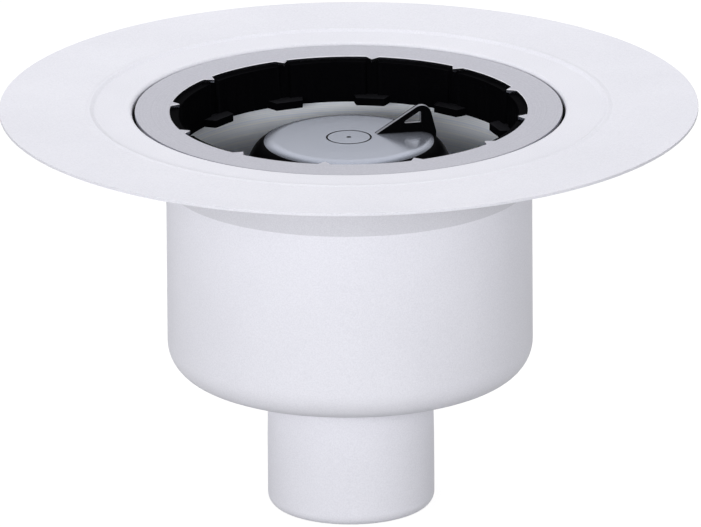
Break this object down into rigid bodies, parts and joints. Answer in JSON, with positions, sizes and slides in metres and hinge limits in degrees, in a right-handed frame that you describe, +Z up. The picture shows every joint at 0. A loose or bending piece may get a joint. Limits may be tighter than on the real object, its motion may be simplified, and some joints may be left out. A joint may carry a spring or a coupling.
{
  "type": "flat roof drain",
  "caption": "Round sheet metal roof drain: wide bonding flange, toothed frame ring over a black insert, deep pot, vertical outlet spigot and a lift-out bell odour trap.",
  "frame": {"origin": "on the drain's axis, at the lower end of the outlet spigot", "axes": "+Z up along the drain's axis, out of the inlet; -Y faces the viewer of the picture"},
  "size_m": [0.46, 0.46, 0.274],
  "materials": {
    "body_steel": "matt pickled stainless sheet",
    "frame_steel": "satin turned stainless",
    "insert_black": "black moulded plastic",
    "trap_steel": "polished stainless sheet",
    "seal_rubber": "black rubber"
  },
  "bodies": {
    "root": {"roof_flange": "body_steel", "drain_pot": "body_steel", "outlet_spigot": "body_steel", "frame_ring": "frame_steel", "insert_ring": "insert_black", "standpipe": "trap_steel", "standpipe_seal": "seal_rubber", "trap_bell": "trap_steel", "bell_handle": "trap_steel", "spacer_fin_1": "trap_steel", "spacer_fin_2": "trap_steel", "spacer_fin_3": "trap_steel"}
  },
  "joints": []
}
